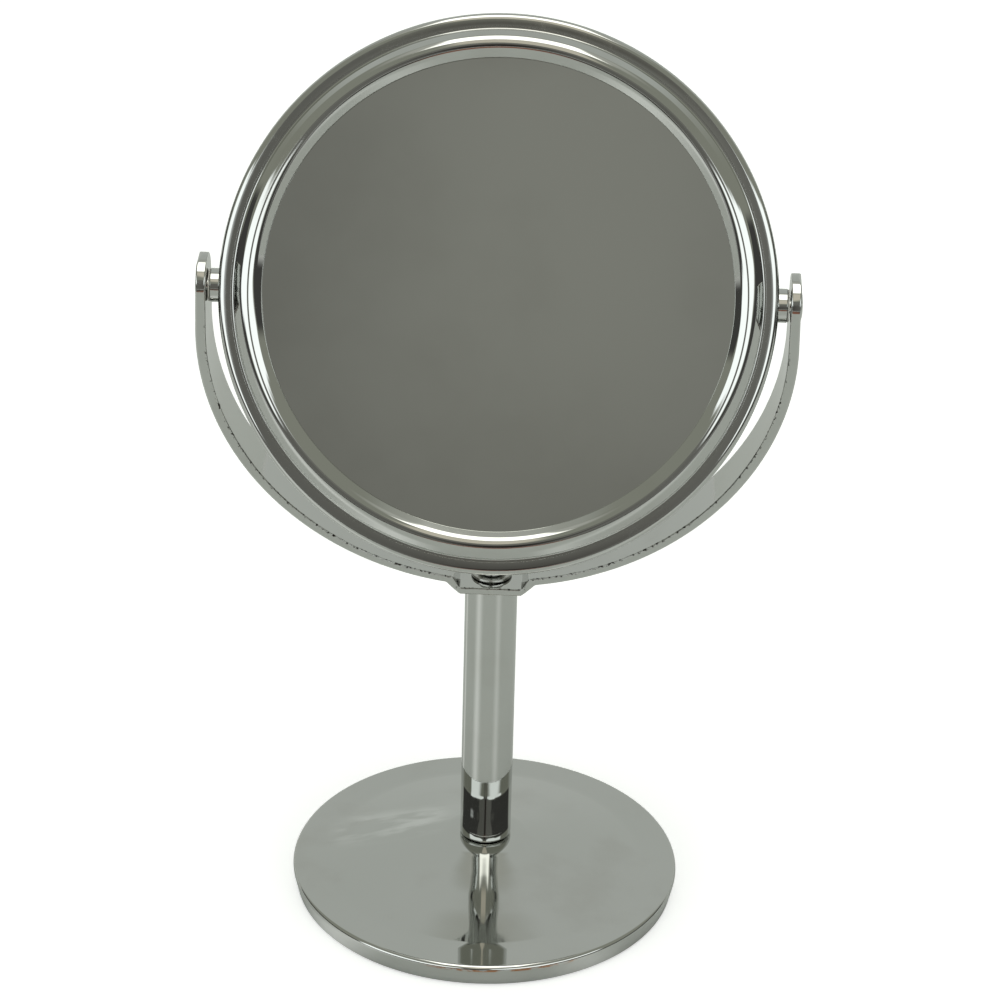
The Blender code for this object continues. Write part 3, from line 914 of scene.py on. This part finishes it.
def pad_foam():
    """Black sponge sheet: open cells, with lint and dust on it."""
    made, tree, shader = new_look("pad_foam")
    dust = patches(tree, scale=130, detail=6, start=0.5, end=0.75)
    surface(tree, shader, mix_colour(tree, dust, FOAM, FOAM_DUST),
            between(tree, dust, low=0.75, high=0.95))
    bump(tree, shader, cells(tree, scale=1400), depth=0.3)
    return made


def card():
    """Grey-brown board with fibres pressed into it."""
    made, tree, shader = new_look("card")
    fibres = noise(tree, scale=420, detail=6, stretch=(1, 0.25, 1))
    surface(tree, shader, mix_colour(tree, fibres, CARD_DARK, CARD_LIGHT),
            between(tree, fibres, low=0.8, high=0.95))
    bump(tree, shader, fibres, depth=0.08)
    return made


def white_plastic():
    """Off-white moulded nylon, slightly yellowed and finely textured."""
    made, tree, shader = new_look("white_plastic")
    yellowed = patches(tree, scale=55, detail=4, start=0.35, end=0.75)
    surface(tree, shader, mix_colour(tree, yellowed, NYLON, NYLON_YELLOWED),
            between(tree, noise(tree, scale=300, detail=3), low=0.35, high=0.55))
    bump(tree, shader, noise(tree, scale=1800, detail=3), depth=0.03)
    return made


def build_pieces(looks):
    """Makes every piece that is seen and puts it on its body."""
    plated = looks["chrome"]
    steel = looks["fastener_steel"]
    glass = looks["mirror_glass"]
    # The base's plating gets a painted orange reflection just under its front rim.
    plated_base = chrome("chrome_base", film=base_film, rust_and_painted_reflection=rim_painted_reflection)
    plated_bar = chrome("chrome_bent_bar", chips=yoke_chips)
    head = head_place()
    finish_piece(base_shell(), "stand", "base_shell", plated_base)
    finish_piece(column_tube(), "stand", "column_tube", plated)
    finish_piece(yoke(), "stand", "yoke", plated_bar)
    finish_piece(yoke_screw(), "stand", "yoke_screw", steel)
    finish_piece(yoke_washer(), "stand", "yoke_washer", steel)
    finish_piece(head_hoop(), "head", "head_hoop", plated, head)
    finish_piece(bezel("front_bezel_visual", 1), "head", "front_bezel", plated, head)
    finish_piece(bezel("rear_bezel_visual", -1), "head", "rear_bezel", plated, head)
    finish_piece(front_glass(), "head", "front_glass", glass, head)
    finish_piece(rear_glass(), "head", "rear_glass", glass, head)
    for side, turn in (("left", -1), ("right", 1)):
        where = pivot_place(turn)
        pin = pivot_pin(f"pivot_pin_{side}_visual")
        spacer = pivot_spacer(f"pivot_spacer_{side}_visual")
        finish_piece(pin, "head", f"pivot_pin_{side}", plated, where)
        finish_piece(spacer, "head", f"pivot_spacer_{side}", plated, where)


def colour_cad_pieces(looks):
    """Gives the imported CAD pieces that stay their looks."""
    for slot, nodes in CAD_SLOTS.items():
        for node in nodes:
            mesh = frame["nodes"][node].data
            mesh.materials.clear()
            mesh.materials.append(looks[slot])


def camera():
    """A long lens about 1.2 m away that looks down on the mirror by about 28 degrees."""
    lens = bpy.data.cameras.new("camera")
    lens.sensor_width = CAMERA_SENSOR
    lens.lens = CAMERA_LENS
    lens.clip_end = CAMERA_CLIP_END
    obj = bpy.data.objects.new("camera", lens)
    bpy.context.scene.collection.objects.link(obj)
    level = math.cos(CAMERA_PITCH)
    ahead = Vector((-math.sin(CAMERA_HEADING) * level, math.cos(CAMERA_HEADING) * level,
                    -math.sin(CAMERA_PITCH)))
    right = ahead.cross(Vector((0, 0, 1))).normalized()
    up = right.cross(ahead)
    rolled_right = right * math.cos(CAMERA_ROLL) + up * math.sin(CAMERA_ROLL)
    rolled_up = up * math.cos(CAMERA_ROLL) - right * math.sin(CAMERA_ROLL)
    turn = Matrix((rolled_right, rolled_up, -ahead)).transposed().to_4x4()
    obj.matrix_world = Matrix.Translation(Vector(CAMERA_SPOT) * MM) @ turn
    bpy.context.scene.camera = obj


# Studio


def angle_from_front(tree, other, y):
    """The angle from the front, -Y, towards another axis, in degrees."""
    turn = math_node(tree, "ARCTAN2", other, product(tree, y, -1.0))
    return product(tree, turn, 180 / math.pi)


def paint(tree, beneath, tint, *masks):
    """Lays a tint on top where all the masks are 1."""
    return mix_colour(tree, product(tree, *masks), beneath, tint)


def person_colour(tree, azimuth, elevation):
    """Dark clothes below, paler above, with a darker top and darker sides."""
    colour = mix_colour(tree, smooth_step(tree, elevation, start=13, end=26), PERSON_LOW, PERSON_HIGH)
    colour = paint(tree, colour, PERSON_TOP, smooth_step(tree, elevation, start=28.5, end=30.5))
    colour = paint(tree, colour, PERSON_RIGHT, smooth_step(tree, azimuth, start=0, end=6))
    return paint(tree, colour, PERSON_LEFT, smooth_step(tree, azimuth, start=-1, end=-7))


def room(tree, colour, aside, elevation):
    """The wall behind the mirror, the ceiling, and the dark tables beside the camera."""
    colour = paint(tree, colour, BACK_WALL, smooth_step(tree, aside, start=112, end=134),
                   band(tree, elevation, low=-5, high=62, soft=10))
    colour = paint(tree, colour, CEILING, smooth_step(tree, elevation, start=58, end=70))
    table_top = between(tree, smooth_step(tree, aside, start=36, end=50), low=9.0, high=14.0)
    return paint(tree, colour, SIDE_TABLES, band(tree, aside, low=12, high=122, soft=8),
                 below(tree, elevation, table_top, soft=2))


def boards(tree, colour, azimuth, elevation):
    """Two white boards that stand on the tables, highest at their peaks."""
    white = scaled(BOARDS, BOARD_BRIGHTNESS)
    left_bottom = between(tree, smooth_step(tree, azimuth, start=-42, end=-60), low=12.5, high=8.5)
    right_bottom = between(tree, smooth_step(tree, azimuth, start=36, end=46), low=12.5, high=17.5)
    for low, peak, high, bottom in ((-70, -50, -5, left_bottom), (5, 38, 72, right_bottom)):
        top = line(tree, distance(tree, azimuth, peak), slope=-0.16, start=35.5)
        colour = paint(tree, colour, white, band(tree, azimuth, low, high, soft=6),
                       above(tree, elevation, bottom, soft=2), below(tree, elevation, top, soft=1.5))
    return colour


def photographer(tree, colour, azimuth, elevation):
    """A person between the boards, wide at the bottom and narrow at the top."""
    half_width = math_node(tree, "MAXIMUM", line(tree, elevation, slope=-1.25, start=34.0), 8.0)
    return paint(tree, colour, person_colour(tree, azimuth, elevation),
                 below(tree, distance(tree, azimuth, -1.5), half_width, soft=1.5),
                 smooth_step(tree, elevation, start=34, end=30))


def cream_wall(tree, colour, aside, elevation):
    """A wall seen over the boards, opening upwards."""
    half_width = line(tree, elevation, slope=0.55, start=-16.5)
    return paint(tree, colour, CREAM_WALL, below(tree, aside, half_width, soft=2),
                 band(tree, elevation, low=33, high=62, soft=5))


def soft_box(tree, colour, x, overhead):
    """A long white strip overhead, from front to back."""
    return paint(tree, colour, scaled(SOFT_BOX, SOFT_BOX_BRIGHTNESS),
                 band(tree, x, low=-0.25, high=0.25, soft=0.06),
                 band(tree, overhead, low=66, high=105, soft=5))


def studio():
    """Surroundings that the chrome reflects, by direction; the camera itself sees plain white.

    Azimuth is 0 in front and 90 on the right, elevation is 90 overhead, both in degrees.
    """
    world = bpy.data.worlds.new("studio")
    world.use_nodes = True
    bpy.context.scene.world = world
    tree = world.node_tree
    split = tree.nodes.new("ShaderNodeSeparateXYZ")
    tree.links.new(tree.nodes.new("ShaderNodeTexCoord").outputs["Generated"], split.inputs["Vector"])
    x, y, z = split.outputs
    azimuth = angle_from_front(tree, x, y)
    overhead = angle_from_front(tree, z, y)
    elevation = product(tree, math_node(tree, "ARCSINE", z), 180 / math.pi)
    aside = math_node(tree, "ABSOLUTE", azimuth)
    colour = room(tree, ROOM, aside, elevation)
    colour = boards(tree, colour, azimuth, elevation)
    colour = photographer(tree, colour, azimuth, elevation)
    colour = cream_wall(tree, colour, aside, elevation)
    colour = soft_box(tree, colour, x, overhead)
    colour = paint(tree, colour, BELOW_HORIZON, smooth_step(tree, elevation, start=0.0, end=-3.0))
    seen = tree.nodes.new("ShaderNodeLightPath").outputs["Is Camera Ray"]
    colour = paint(tree, colour, PLAIN_WHITE, seen)
    tree.links.new(colour, tree.nodes["Background"].inputs["Color"])


def floor_colour(tree, x, y, unseen):
    """Pale all over for the camera; reflections also see the dark table in front."""
    warm = band(tree, x, low=-0.22, high=0.22, soft=0.1)
    table = mix_colour(tree, warm, TABLE_DARK, TABLE_WARM)
    return paint(tree, FLOOR_PALE, table, smooth_step(tree, y, *TABLE_START), unseen)


def floor_glow(tree, azimuth, seen, unseen):
    """An even glow for the camera, and pools of lamp light for the reflections."""
    pools = 0.0
    for low, high, soft, strength in LAMP_POOLS:
        pools = math_node(tree, "MULTIPLY_ADD", band(tree, azimuth, low, high, soft), strength, pools)
    return math_node(tree, "MULTIPLY_ADD", seen, FLOOR_GLOW, product(tree, pools, unseen))


def floor():
    """Pale floor. The camera sees it a little brighter than the mirror's reflections do."""
    builder = bmesh.new()
    bmesh.ops.create_grid(builder, x_segments=1, y_segments=1, size=FLOOR_HALF_SIZE)
    obj = new_object("floor", builder)
    made, tree, shader = new_look("floor")
    x, y = axes(tree)[:2]
    seen = tree.nodes.new("ShaderNodeLightPath").outputs["Is Camera Ray"]
    unseen = math_node(tree, "SUBTRACT", 1.0, seen)
    glow = floor_glow(tree, angle_from_front(tree, x, y), seen, unseen)
    tree.links.new(floor_colour(tree, x, y, unseen), shader.inputs["Base Color"])
    tree.links.new(glow, shader.inputs["Emission Strength"])
    shader.inputs["Emission Color"].default_value = (*PLAIN_WHITE, 1)
    shader.inputs["Roughness"].default_value = FLOOR_ROUGHNESS
    obj.data.materials.append(made)


def main():
    """Makes the materials, the pieces, the camera and the surroundings."""
    looks = {
        "chrome": chrome(),
        "mirror_glass": mirror_glass(),
        "fastener_steel": fastener_steel(),
        "nut_brass": nut_brass(),
        "weight_iron": weight_iron(),
        "pad_foam": pad_foam(),
        "card": card(),
        "white_plastic": white_plastic(),
    }
    build_pieces(looks)
    colour_cad_pieces(looks)
    camera()
    studio()
    floor()
    bpy.context.scene.view_settings.view_transform = "Standard"


main()
